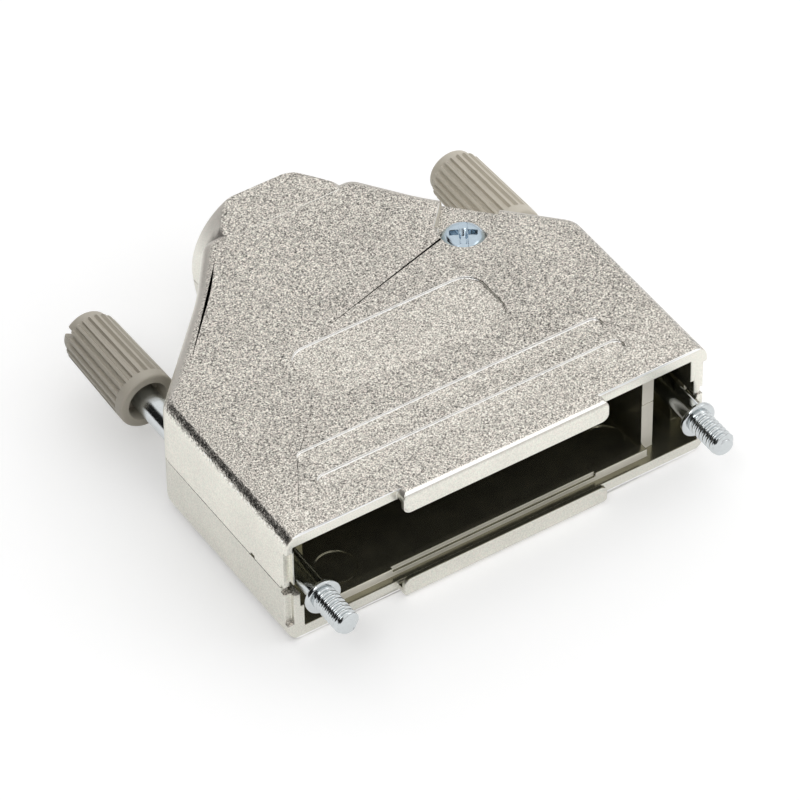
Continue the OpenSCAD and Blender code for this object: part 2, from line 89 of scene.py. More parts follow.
class Term:
    """A socket of a node tree that adds Math nodes when it is used in arithmetic."""

    def __init__(self, graph: "Graph", socket: bpy.types.NodeSocket) -> None:
        """Wraps a socket.

        Args:
            graph: The tree that the socket belongs to.
            socket: The output socket.
        """
        self.graph = graph
        self.socket = socket

    def _math(self, operation: str, *operands: Any) -> "Term":
        """One Math node.

        Args:
            operation: The Math node's operation.
            operands: Its values or terms, in order.

        Returns:
            The node's result.
        """
        return self.graph.node("ShaderNodeMath", {"operation": operation}, dict(enumerate(operands)))

    def __add__(self, other: Any) -> "Term":
        """Sum."""
        return self._math("ADD", self, other)

    def __radd__(self, other: Any) -> "Term":
        """Sum, reflected."""
        return self._math("ADD", other, self)

    def __sub__(self, other: Any) -> "Term":
        """Difference."""
        return self._math("SUBTRACT", self, other)

    def __rsub__(self, other: Any) -> "Term":
        """Difference, reflected."""
        return self._math("SUBTRACT", other, self)

    def __mul__(self, other: Any) -> "Term":
        """Product."""
        return self._math("MULTIPLY", self, other)

    def __rmul__(self, other: Any) -> "Term":
        """Product, reflected."""
        return self._math("MULTIPLY", other, self)

    def __truediv__(self, other: Any) -> "Term":
        """Quotient."""
        return self._math("DIVIDE", self, other)

    def __abs__(self) -> "Term":
        """Absolute value."""
        return self._math("ABSOLUTE", self)

    def fraction(self) -> "Term":
        """The part after the decimal point, always from 0 to 1."""
        return self._math("FRACT", self)

    def power(self, exponent: float) -> "Term":
        """This value raised to a power."""
        return self._math("POWER", self, exponent)

    def sine(self) -> "Term":
        """Sine of this angle."""
        return self._math("SINE", self)

    def least(self, other: Any) -> "Term":
        """The smaller of this value and another."""
        return self._math("MINIMUM", self, other)

    def most(self, other: Any) -> "Term":
        """The larger of this value and another."""
        return self._math("MAXIMUM", self, other)

    def ramp(self, start: Any, end: Any, low: float = 0.0, high: float = 1.0) -> "Term":
        """A smooth step.

        Args:
            start: Value at which the step begins.
            end: Value at which it ends.
            low: Result before the step.
            high: Result after it.

        Returns:
            The stepped value.
        """
        return self.graph.node("ShaderNodeMapRange", {"interpolation_type": "SMOOTHSTEP"},
                               {"Value": self, "From Min": start, "From Max": end,
                                "To Min": low, "To Max": high})


class Graph:
    """A node tree, of a material or of Geometry Nodes, built from expressions."""

    def __init__(self, tree: bpy.types.NodeTree) -> None:
        """Starts from an empty tree.

        Args:
            tree: The tree that is cleared and filled.
        """
        self.tree = tree
        tree.nodes.clear()

    def node(self, kind: str, settings: Mapping[str, Any] | None = None,
             inputs: Mapping[Any, Any] | None = None, output: Any = 0) -> Term:
        """Adds any node.

        Args:
            kind: The node's type.
            settings: Properties of the node, set before its sockets.
            inputs: Values or terms for its sockets, by name or number.
            output: Name or number of the output that is wanted.

        Returns:
            That output.
        """
        made = self.tree.nodes.new(kind)
        for name, value in (settings or {}).items():
            setattr(made, name, value)
        for key, value in (inputs or {}).items():
            if isinstance(value, Term):
                self.tree.links.new(value.socket, made.inputs[key])
            else:
                made.inputs[key].default_value = value
        return Term(self, made.outputs[output]) if made.outputs else Term(self, None)

    def split(self, vector: Term) -> tuple[Term, Term, Term]:
        """The three parts of a vector.

        Args:
            vector: The vector.

        Returns:
            Its x, y and z.
        """
        first = self.node("ShaderNodeSeparateXYZ", {}, {0: vector})
        outputs = first.socket.node.outputs
        return first, Term(self, outputs[1]), Term(self, outputs[2])

    def mix(self, factor: Any, first: Any, second: Any) -> Term:
        """A blend of two colours.

        Args:
            factor: 0 for the first colour and 1 for the second.
            first: The first colour.
            second: The second colour.

        Returns:
            The blended colour.
        """
        return self.node("ShaderNodeMix", {"data_type": "RGBA"},
                         {0: factor, 6: first, 7: second}, output=2)


# ---------------------------------------------------------------- finishes


def rgba(colour: Sequence[float], gain: float = 1.0) -> tuple[float, float, float, float]:
    """A colour for a socket.

    Args:
        colour: Red, green and blue, linear.
        gain: Factor on all three.

    Returns:
        The four values.
    """
    return (colour[0] * gain, colour[1] * gain, colour[2] * gain, 1.0)


@dataclass(frozen=True)
class Finish:
    """What every finish has: a name, a colour and a roughness."""

    name: str
    colour: tuple[float, float, float]
    roughness: float
    metallic: float = 1.0

    def material(self) -> bpy.types.Material:
        """The finish's material, made once.

        Returns:
            The material.
        """
        known = bpy.data.materials.get(self.name)
        if known:
            return known
        made = bpy.data.materials.new(self.name)
        made.use_nodes = True
        graph = Graph(made.node_tree)
        colour, roughness, normal = self.surface(graph, self.place(graph))
        inputs = {"Base Color": colour, "Roughness": roughness, "Metallic": self.metallic}
        if normal is not None:
            inputs["Normal"] = normal
        shader = graph.node("ShaderNodeBsdfPrincipled", {}, inputs)
        graph.node("ShaderNodeOutputMaterial", {}, {"Surface": shader})
        made.diffuse_color = rgba(self.colour)
        return made

    def place(self, graph: Graph) -> Term:
        """Object coordinates in millimetres."""
        spot = graph.node("ShaderNodeTexCoord", output="Object")
        return graph.node("ShaderNodeMapping", {}, {"Vector": spot, "Scale": (1 / MM,) * 3})

    def grain(self, graph: Graph, spot: Term, size: float, detail: float = 2.0) -> Term:
        """Noise of a given grain size.

        Args:
            graph: The material's tree.
            spot: Place in millimetres.
            size: Size of one grain in millimetres.
            detail: Number of finer layers.

        Returns:
            A value round 0.5.
        """
        return graph.node("ShaderNodeTexNoise", {},
                          {"Vector": spot, "Scale": 1 / size, "Detail": detail, "Roughness": 0.6})

    def bump(self, graph: Graph, height: Term, depth: float, strength: float = 1.0) -> Term:
        """A bumped normal.

        Args:
            graph: The material's tree.
            height: Height from 0 to 1.
            depth: Height of 1 in millimetres.
            strength: Strength of the effect.

        Returns:
            The normal.
        """
        return graph.node("ShaderNodeBump", {},
                          {"Strength": strength, "Distance": depth * MM, "Height": height})

    def surface(self, graph: Graph, spot: Term) -> tuple[Any, Any, Term | None]:
        """Colour, roughness and normal of the finish.

        Args:
            graph: The material's tree.
            spot: Place in millimetres.

        Returns:
            The three values for the shader.
        """
        soft = self.grain(graph, spot, 0.8)
        colour = graph.mix(soft, rgba(self.colour, 0.93), rgba(self.colour, 1.05))
        return colour, self.roughness + 0.1 * soft, self.bump(graph, soft, 0.01)


@dataclass(frozen=True)
class CastNickel(Finish):
    """Nickel on a die casting: blasted flat faces, coarse grain on the rounded edge, satin sides.
    Its colour also holds painted light and shade: painted glints in the grain, sides painted
    lighter than the top, painted highlights on front-facing walls of the relief, recessed flats
    and the front of the top painted lighter, and painted shade on the lower half's walls.
    """

    # Wall colour, lighter than the top: partly the satin finish, partly painted light.
    side: tuple[float, float, float] = (0.72, 0.70, 0.64)
    grain_size: float = 0.16
    contrast: float = 2.1
    edge_contrast: float = 1.6
    straight_to: float = 24.5
    relief: tuple[float, float] = (7.27, 7.62)
    # Painted shade: share by which the lower half's walls and rounded edges are darker.
    lower_wall_painted_shade: float = -0.13

    def surface(self, graph: Graph, spot: Term) -> tuple[Any, Any, Term | None]:
        """Blends the three zones by how far the surface faces up or down, and adds painted light and shade
        to the colour.
        """
        _, ahead, upward = graph.split(graph.node("ShaderNodeTexCoord", output="Normal"))
        up = abs(upward)
        x, y, z = graph.split(spot)
        flat = up.ramp(0.86, 0.985)
        band = up.ramp(0.2, 0.55) * (1.0 - flat)
        coarse_band = band * (1.0 - y.ramp(self.straight_to, self.straight_to + 1.5)) * y.ramp(-0.2, 0.6)
        fine = self.grain(graph, spot, self.grain_size, 1.0)
        coarse = self.grain(graph, spot, self.grain_size * 2.0, 2.0)
        cloud = self.grain(graph, spot, 9.0, 2.0)
        tint = self.grain(graph, spot, 0.3, 1.0)
        # Grain that also carries painted glints of the blasted faces and the rounded edge.
        grain_and_glint = (fine - 0.5) * (self.contrast * 2.0)
        edge_grain_and_glint = (coarse - 0.5) * (self.edge_contrast * 2.0)
        low, high = self.relief
        # Painted light: recessed flats of the relief are made lighter.
        sunk_painted_light = flat * (1.0 - abs(abs(z) - low - 0.03).ramp(0.05, 0.15))
        # Painted highlight: front-facing walls and edges at the top of the relief are made much lighter.
        step = (1.0 - flat) * abs(z).ramp(low, low + 0.02) * (1.0 - ahead.ramp(-0.5, -0.2))
        light = (1.0 + grain_and_glint * (0.12 + 0.88 * flat) + edge_grain_and_glint * coarse_band
                 + (cloud - 0.5) * 0.22 + sunk_painted_light * 0.14 + step * 1.5
                 # Painted light: the top flats are lighter towards the front.
                 + (1.0 - y.ramp(0.0, 12.0)) * flat * 0.11
                 # Painted shade: the lower half's walls and rounded edges are darker.
                 + (1.0 - flat) * (1.0 - z.ramp(-0.9, -0.4)) * self.lower_wall_painted_shade)
        # Top and walls get separate colours; the walls' lighter one is partly satin finish, partly painted
        # light.
        top = graph.mix(light * 0.5, rgba(self.colour, 0.0), rgba(self.colour, 2.0))
        wall = graph.mix(light * 0.5, rgba(self.side, 0.0), rgba(self.side, 2.0))
        plain = graph.mix(up.ramp(0.25, 0.75), wall, top)
        colour = graph.node("ShaderNodeMix", {"data_type": "RGBA", "blend_type": "MULTIPLY"},
                            {0: 1.0, 6: plain, 7: graph.mix(tint, (1.05, 0.985, 1.0, 1.0),
                                                            (0.95, 1.015, 1.0, 1.0))}, output=2)
        roughness = self.roughness + 0.1 * flat - 0.14 * coarse_band + 0.2 * (fine - 0.5)
        height = fine * (0.15 + 0.85 * flat) + 2.6 * coarse * coarse_band
        return colour, roughness, self.bump(graph, height, 0.035)


@dataclass(frozen=True)
class InnerNickelPaintedShade(Finish):
    """Painted shade inside the hood: the nickel there gets a dark, smooth colour that stands for the shade
    of the cavity.
    """

    def surface(self, graph: Graph, spot: Term) -> tuple[Any, Any, Term | None]:
        """Slight stains over the glossy painted dark shade."""
        stain = self.grain(graph, spot, 3.0, 3.0)
        colour = graph.mix(stain, rgba(self.colour, 0.6), rgba(self.colour, 1.4))
        return colour, self.roughness + 0.12 * stain, self.bump(graph, stain, 0.02)


@dataclass(frozen=True)
class TurnedMetal(Finish):
    """Bright metal with fine turning lines round the piece's own axis."""

    along: int = 1
    pitch: float = 0.09

    def surface(self, graph: Graph, spot: Term) -> tuple[Any, Any, Term | None]:
        """Lines across the axis that the piece was turned on."""
        place = graph.split(spot)[self.along]
        lines = (place * (math.tau / self.pitch)).sine() * 0.5 + 0.5
        soft = self.grain(graph, spot, 0.5)
        colour = graph.mix(soft, rgba(self.colour, 0.88), rgba(self.colour, 1.06))
        return colour, self.roughness + 0.1 * soft, self.bump(graph, lines * 0.5 + soft, 0.004)


@dataclass(frozen=True)
class MouldedPlastic(Finish):
    """Moulded plastic with a faint grain; the knob on the right is painted lighter, as painted light."""

    # Painted light: share by which the knob on the right is made lighter.
    right_knob_painted_light: float = 0.25

    def surface(self, graph: Graph, spot: Term) -> tuple[Any, Any, Term | None]:
        """Faint texture, slight random differences in colour, and painted light on the knob on the right.
        """
        fine = self.grain(graph, spot, 0.12, 2.0)
        cloud = self.grain(graph, spot, 2.5, 2.0)
        # Random cloud plus painted light that makes the knob on the right lighter.
        tone_and_painted_light = 0.93 + 0.14 * cloud + self.right_knob_painted_light * graph.split(spot)[0].ramp(-5.0, 5.0)
        colour = graph.mix(tone_and_painted_light * 0.5, rgba(self.colour, 0.0), rgba(self.colour, 2.0))
        return colour, self.roughness + 0.12 * fine, self.bump(graph, fine, 0.012)


# The lighter side colour is partly the satin finish and partly painted light.
CASTING = CastNickel("cast_nickel", (0.555, 0.525, 0.478), 0.42, side=(0.85, 0.835, 0.76))
# Painted shade: the cavity's nickel is given a dark colour.
INNER_PAINTED_SHADE = InnerNickelPaintedShade("inner_nickel", (0.36, 0.345, 0.26), 0.14, metallic=0.9)
# Painted light: a lighter, more diffuse copy of the nickel for inner faces that look out of the front.
FRONT_PAINTED_LIGHT = Finish("front_nickel", (0.74, 0.71, 0.63), 0.6, metallic=0.35)
ZINC = TurnedMetal("zinc_plate", (0.49, 0.58, 0.655), 0.09, along=2)
STEEL = TurnedMetal("steel_lathe", (0.63, 0.66, 0.67), 0.09, along=1)
PLASTIC = MouldedPlastic("plastic_moulded", (0.44, 0.405, 0.34), 0.42, metallic=0.0)
CLAMP = Finish("clamp_plate", (0.42, 0.42, 0.40), 0.38)


# ---------------------------------------------------------------- meshes


def object_of(name: str, mesh: bpy.types.Mesh) -> bpy.types.Object:
    """Puts a mesh into the scene.

    Args:
        name: The object's name.
        mesh: Its mesh.

    Returns:
        The new object.
    """
    made = bpy.data.objects.new(name, mesh)
    bpy.context.scene.collection.objects.link(made)
    return made


def apply_modifiers(piece: bpy.types.Object) -> None:
    """Turns a piece and its modifiers into a plain mesh.

    Args:
        piece: The object, which keeps its name.
    """
    graph = bpy.context.evaluated_depsgraph_get()
    graph.update()
    mesh = bpy.data.meshes.new_from_object(piece.evaluated_get(graph), depsgraph=graph)
    old = piece.data
    piece.modifiers.clear()
    piece.data = mesh
    bpy.data.meshes.remove(old)
    mesh.name = piece.name


def edit(piece: bpy.types.Object, work: Callable[[bmesh.types.BMesh], None]) -> None:
    """Changes a mesh through bmesh.

    Args:
        piece: The object.
        work: What is done to its mesh.
    """
    mesh = bmesh.new()
    mesh.from_mesh(piece.data)
    work(mesh)
    mesh.to_mesh(piece.data)
    mesh.free()
    piece.data.update()


def shade(piece: bpy.types.Object, angle: float = 38.0) -> None:
    """Smooth shading, broken at edges sharper than an angle.

    Args:
        piece: The object.
        angle: The angle in degrees.
    """
    piece.data.shade_smooth()
    piece.data.set_sharp_from_angle(angle=math.radians(angle))
    weighted = piece.modifiers.new("normals", "WEIGHTED_NORMAL")
    weighted.keep_sharp = True
    weighted.weight = 100
    apply_modifiers(piece)


def soften(piece: bpy.types.Object, width: float, segments: int = 2, angle: float = 38.0,
           shortest: float = 0.05) -> None:
    """Rounds a piece's sharp edges.

    Args:
        piece: The object, in metres.
        width: Width of the rounded edge in millimetres.
        segments: Faces across it.
        angle: Edges sharper than this are rounded.
        shortest: Edges shorter than this, in millimetres, stay sharp.
    """
    def mark(mesh: bmesh.types.BMesh) -> None:
        """Gives the chosen edges their weight."""
        weight = (mesh.edges.layers.float.get("bevel_weight_edge")
                  or mesh.edges.layers.float.new("bevel_weight_edge"))
        for edge in mesh.edges:
            sharp = len(edge.link_faces) == 2 and edge.calc_face_angle(0.0) > math.radians(angle)
            edge[weight] = 1.0 if sharp and edge.calc_length() > shortest * MM else 0.0

    edit(piece, mark)
    rounding = piece.modifiers.new("edges", "BEVEL")
    rounding.limit_method = "WEIGHT"
    rounding.width = width * MM
    rounding.segments = segments
    rounding.use_clamp_overlap = False
    rounding.miter_outer = "MITER_SHARP"
    apply_modifiers(piece)


def turn(profile: Sequence[tuple[float, float]], around: int) -> bpy.types.Mesh:
    """A closed turned mesh round the Z axis.

    Args:
        profile: Radius and height of each ring in millimetres, from one end to the other.
        around: Number of points in a ring.

    Returns:
        The mesh, in millimetres.
    """
    built = bmesh.new()
    rings = []
    for radius, height in profile:
        if radius < 1e-6:
            rings.append([built.verts.new((0.0, 0.0, height))])
            continue
        rings.append([built.verts.new((radius * math.cos(a), radius * math.sin(a), height))
                      for a in (math.tau * i / around for i in range(around))])
    for low, high in zip(rings, rings[1:]):
        for i in range(around):
            j = (i + 1) % around
            corners = [low[i % len(low)], low[j % len(low)], high[j % len(high)], high[i % len(high)]]
            unique = list(dict.fromkeys(corners))
            if len(unique) > 2:
                built.faces.new(unique)
    bmesh.ops.recalc_face_normals(built, faces=built.faces)
    mesh = bpy.data.meshes.new("turned")
    built.to_mesh(mesh)
    built.free()
    return mesh


def steps(start: float, end: float, pitch: float) -> list[float]:
    """Evenly spaced heights.

    Args:
        start: First height.
        end: Last height.
        pitch: Largest distance between two.

    Returns:
        The heights, both ends included.
    """
    count = max(1, math.ceil(abs(end - start) / pitch))
    return [start + (end - start) * i / count for i in range(count + 1)]


def box_mesh(size: Sequence[float], centre: Sequence[float]) -> bmesh.types.BMesh:
    """A box as a cutter.

    Args:
        size: Its three sides.
        centre: Its middle.

    Returns:
        The open bmesh.
    """
    made = bmesh.new()
    bmesh.ops.create_cube(made, size=1.0)
    bmesh.ops.scale(made, vec=Vector(size), verts=made.verts)
    bmesh.ops.translate(made, vec=Vector(centre), verts=made.verts)
    return made


def cut(piece: bpy.types.Object, cutter: bmesh.types.BMesh) -> None:
    """Takes a cutter away from a piece.

    Args:
        piece: The object.
        cutter: The cutter, which is freed.
    """
    mesh = bpy.data.meshes.new("cutter")
    bmesh.ops.recalc_face_normals(cutter, faces=cutter.faces)
    cutter.to_mesh(mesh)
    cutter.free()
    tool = object_of("cutter", mesh)
    boolean = piece.modifiers.new("cut", "BOOLEAN")
    boolean.operation = "DIFFERENCE"
    boolean.solver = "EXACT"
    boolean.object = tool
    apply_modifiers(piece)
    bpy.data.objects.remove(tool)
    bpy.data.meshes.remove(mesh)


class Kind(Enum):
    """What a Geometry Nodes tree cuts into a turned blank."""

    THREAD = "helical thread"
    FLUTES = "grip flutes"


@dataclass(frozen=True)
class Skin:
    """Geometry Nodes tree that moves a turned blank's points towards its axis in a repeated pattern."""

    kind: Kind
    inputs: tuple[str, ...] = ("Start", "End", "Pitch", "Depth", "Run-out", "Least radius")

    def tree(self, material: bpy.types.Material) -> bpy.types.GeometryNodeTree:
        """The tree, made once for each kind and material.

        Args:
            material: The material that the result gets.

        Returns:
            The tree.
        """
        name = f"{self.kind.value} {material.name}"
        known = bpy.data.node_groups.get(name)
        if known:
            return known
        made = bpy.data.node_groups.new(name, "GeometryNodeTree")
        made.is_modifier = True
        face = made.interface
        face.new_socket("Geometry", in_out="INPUT", socket_type="NodeSocketGeometry")
        for label in self.inputs:
            face.new_socket(label, in_out="INPUT", socket_type="NodeSocketFloat")
        face.new_socket("Geometry", in_out="OUTPUT", socket_type="NodeSocketGeometry")
        graph = Graph(made)
        blank = graph.node("NodeGroupInput")
        start, end, pitch, depth, runout, least = (
            Term(graph, blank.socket.node.outputs[i + 1]) for i in range(len(self.inputs)))
        spot = graph.node("GeometryNodeInputPosition")
        x, y, z = graph.split(spot)
        radius = (x * x + y * y).power(0.5)
        turns = x._math("ARCTAN2", y, x) / math.tau
        reach = (z - start).ramp(0.0, runout) * (end - z).ramp(0.0, runout)
        if self.kind is Kind.THREAD:
            phase = (z / pitch - turns).fraction()
            groove = 1.0 - abs(phase * 2.0 - 1.0)
            profile = groove.ramp(0.18, 0.9)
        else:
            phase = (turns / pitch + 0.25).fraction()
            groove = 1.0 - abs(phase * 2.0 - 1.0)
            profile = groove.ramp(0.38, 0.62)
        share = (radius - depth * profile * reach).most(radius.least(least)) / (radius + 1e-6)
        place = graph.node("ShaderNodeCombineXYZ", {}, {0: x * share, 1: y * share, 2: z})
        moved = graph.node("GeometryNodeSetPosition", {}, {"Geometry": blank, "Position": place})
        plain = graph.node("GeometryNodeRealizeInstances", {}, {"Geometry": moved})
        dressed = graph.node("GeometryNodeSetMaterial", {}, {"Geometry": plain, "Material": material})
        graph.node("NodeGroupOutput", {}, {0: dressed})
        return made

    def work(self, piece: bpy.types.Object, material: bpy.types.Material, **sizes: float) -> None:
        """Cuts the pattern into a piece and leaves a plain mesh.

        Args:
            piece: The turned blank, round the Z axis.
            material: The material that it gets.
            sizes: Values of the tree's inputs: start, end, pitch, depth, run_out and least_radius.
        """
        modifier = piece.modifiers.new("skin", "NODES")
        modifier.node_group = self.tree(material)
        for item in modifier.node_group.interface.items_tree:
            if item.item_type == "SOCKET" and item.in_out == "INPUT" and item.name in self.inputs:
                modifier[item.identifier] = sizes[item.name.lower().replace(" ", "_").replace("-", "_")]
        apply_modifiers(piece)


def deliver(piece: bpy.types.Object, body: Body, nodes: Sequence[str]) -> bpy.types.Object:
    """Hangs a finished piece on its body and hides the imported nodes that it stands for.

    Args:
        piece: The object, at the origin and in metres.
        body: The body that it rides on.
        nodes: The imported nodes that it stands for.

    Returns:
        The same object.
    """
    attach(piece, body.value)
    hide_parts(*nodes)
    log.info("%s on %s: %d faces", piece.name, body.value, len(piece.data.polygons))
    return piece


def put(piece: bpy.types.Object, place: Matrix) -> None:
    """Places a mesh that was made in millimetres.

    Args:
        piece: The object, which stays at the origin.
        place: Turn and shift in millimetres.
    """
    piece.data.transform(Matrix.Scale(MM, 4) @ place)


# ---------------------------------------------------------------- the hood


@dataclass
class Casting:
    """The two cast halves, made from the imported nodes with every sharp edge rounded."""

    halves: tuple[str, str] = ("top_shell", "bottom_shell")
    shoulder_y: float = 43.6
    lip_length: float = 25.6
    seat_z: float = 6.4
    front_depth: float = 3.0
    edge_width: float = 0.11
    same_face: tuple[float, float] = (0.03, -0.8)
    pieces: list[bpy.types.Object] = field(default_factory=list)

    def skin(self, nodes: Sequence[str]) -> BVHTree:
        """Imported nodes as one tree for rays."""
        corners, faces = [], []
        for node in nodes:
            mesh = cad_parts[node].data
            first = len(corners)
            corners += [vertex.co / MM for vertex in mesh.vertices]
            faces += [[first + i for i in face.vertices] for face in mesh.polygons]
        return BVHTree.FromPolygons(corners, faces)

    def is_inner(self, skin: BVHTree, centre: Vector, normal: Vector) -> bool:
        """Whether a face belongs to the inside.

        Args:
            skin: Both halves.
            centre: The face's middle in millimetres.
            normal: Its direction.

        Returns:
            True for faces of the cavity and all that stands in it.
        """
        if centre.y < 0.35:
            return (abs(centre.z) < self.seat_z and abs(centre.x) < self.lip_length / 2 + 0.1
                    and normal.z * math.copysign(1.0, centre.z) < -0.7)
        if centre.y > self.shoulder_y:
            return False
        start = centre + normal * 0.12
        return all(skin.ray_cast(start, Vector(way))[0] is not None
                   for way in ((0, 0, 1), (0, 0, -1), (1, 0, 0), (-1, 0, 0)))

    def clean(self, mesh: bmesh.types.BMesh) -> None:
        """Joins the loose triangles and drops edges inside flat faces."""
        bmesh.ops.remove_doubles(mesh, verts=mesh.verts, dist=0.002 * MM)
        bmesh.ops.dissolve_degenerate(mesh, edges=mesh.edges, dist=0.01 * MM)
        bmesh.ops.dissolve_limit(mesh, angle_limit=math.radians(0.8), verts=mesh.verts, edges=mesh.edges,
                                 use_dissolve_boundaries=False)
        bmesh.ops.triangulate(mesh, faces=[face for face in mesh.faces if len(face.verts) > 4])

    def keep_inside(self, mesh: bmesh.types.BMesh) -> None:
        """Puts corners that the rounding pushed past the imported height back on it."""
        low, high = CAD_BOX
        for vertex in mesh.verts:
            vertex.co.z = min(max(vertex.co.z, low[2]), high[2])

    def split_faces(self, mesh: bmesh.types.BMesh, half: BVHTree) -> None:
        """Splits all faces into triangles and turns those that look into the wall.

        Args:
            mesh: One half with rounded edges.
            half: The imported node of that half.
        """
        bmesh.ops.triangulate(mesh, faces=mesh.faces[:], ngon_method="EAR_CLIP")
        wrong = []
        for face in mesh.faces:
            face.normal_update()
            _, normal, _, distance = half.find_nearest(face.calc_center_median() / MM)
            if distance < self.same_face[0] and normal.dot(face.normal) < self.same_face[1]:
                wrong.append(face)
        bmesh.ops.reverse_faces(mesh, faces=wrong)

    def build(self) -> None:
        """Makes both halves."""
        skin = self.skin(self.halves)
        for node in self.halves:
            half = self.skin([node])
            piece = object_of(f"{node}_cast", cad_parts[node].data.copy())
            edit(piece, self.clean)
            soften(piece, self.edge_width)
            edit(piece, self.keep_inside)
            edit(piece, lambda mesh: self.split_faces(mesh, half))
            shade(piece)
            self.dress(piece, skin)
            self.pieces.append(deliver(piece, Body.HOOD, [node]))

    def dress(self, piece: bpy.types.Object, skin: BVHTree) -> None:
        """Gives the outside its finish, the inside painted shade, and inner faces near the opening that
        look to the front painted light.

        Args:
            piece: One half.
            skin: Both halves.
        """
        piece.data.materials.clear()
        finishes = (CASTING, INNER_PAINTED_SHADE, FRONT_PAINTED_LIGHT)
        for finish in finishes:
            piece.data.materials.append(finish.material())
        for face in piece.data.polygons:
            inner = self.is_inner(skin, face.center / MM, face.normal)
            # Painted light on inner faces near the opening that look to the front.
            painted_light_face = inner and face.normal.y < -0.7 and face.center.y < self.front_depth * MM
            face.material_index = finishes.index(FRONT_PAINTED_LIGHT if painted_light_face else INNER_PAINTED_SHADE if inner else CASTING)


@dataclass
class Screw:
    """A pan-head screw with a slot and a cross in its head, pointing down its own Z axis."""

    diameter: float
    length: float
    head_diameter: float
    head_height: float
    pitch: float = 0.45
    around: int = 48

    def wing(self, quarter: int) -> bmesh.types.BMesh:
        """One bar of the tapered cross in the head.

        Args:
            quarter: Number of quarter turns from the slot.

        Returns:
            The cutter.
        """
        made = bmesh.new()
        bmesh.ops.create_cube(made, size=1.0)
        reach = self.head_diameter * 0.34
        for vertex in made.verts:
            high = vertex.co.z > 0
            long = reach if high else reach * 0.45
            broad = self.head_diameter * (0.085 if high else 0.06)
            vertex.co = Vector((math.copysign(long, vertex.co.x), math.copysign(broad, vertex.co.y),
                                self.head_height * (1.05 if high else 0.2)))
        bmesh.ops.rotate(made, cent=(0, 0, 0), matrix=Matrix.Rotation(quarter * math.pi / 2, 3, "Z"),
                         verts=made.verts)
        return made

    def make(self, name: str, finish: Finish) -> bpy.types.Object:
        """The screw at the origin, in millimetres.

        Args:
            name: The object's name.
            finish: Its finish.

        Returns:
            The object.
        """
        radius, head, high = self.diameter / 2, self.head_diameter / 2, self.head_height
        profile = [(0.0, -self.length), (radius - 0.4, -self.length)]
        profile += [(radius, z) for z in steps(-self.length + 0.5, -0.02, 0.07)]
        profile += [(radius, 0.0), (head - 0.12, 0.0), (head - 0.03, 0.04), (head, 0.13),
                    (head, high * 0.33)]
        for i in range(1, 13):
            a = math.pi / 2 * i / 12
            profile.append((head * (0.42 + 0.58 * math.cos(a)), high * (0.33 + 0.67 * math.sin(a))))
        profile += [(head * 0.2, high), (0.0, high)]
        piece = object_of(name, turn(profile, self.around))
        Skin(Kind.THREAD).work(piece, finish.material(), start=-self.length - 0.2, end=-0.4,
                               pitch=self.pitch, depth=self.diameter * 0.1, run_out=0.3, least_radius=0.0)
        slot = box_mesh((self.head_diameter * 1.2, self.head_diameter * 0.2, high),
                        (0.0, 0.0, high * 1.18))
        for tool in (self.wing(0), self.wing(1), slot):
            cut(piece, tool)
        return piece


@dataclass
class CaseScrews:
    """The two screws that hold the halves together, one from each side."""

    x: float = 14.7
    y: float = 29.1
    seat_z: float = 5.6
    slot_turn: float = 59.0
    screw: Screw = field(default_factory=lambda: Screw(2.5, 9.5, 4.9, 1.7))

    def build(self) -> None:
        """Makes both screws."""
        for node, flip in (("case_screw_top", 0.0), ("case_screw_bottom", math.pi)):
            piece = self.screw.make(f"{node}_zinc", ZINC)
            put(piece, Matrix.Rotation(flip, 4, "Y") @ Matrix.Translation((self.x, self.y, self.seat_z))
                @ Matrix.Rotation(math.radians(self.slot_turn), 4, "Z"))
            soften(piece, 0.06, 2, 40.0, 0.12)
            shade(piece, 40.0)
            deliver(piece, Body.HOOD, [node])


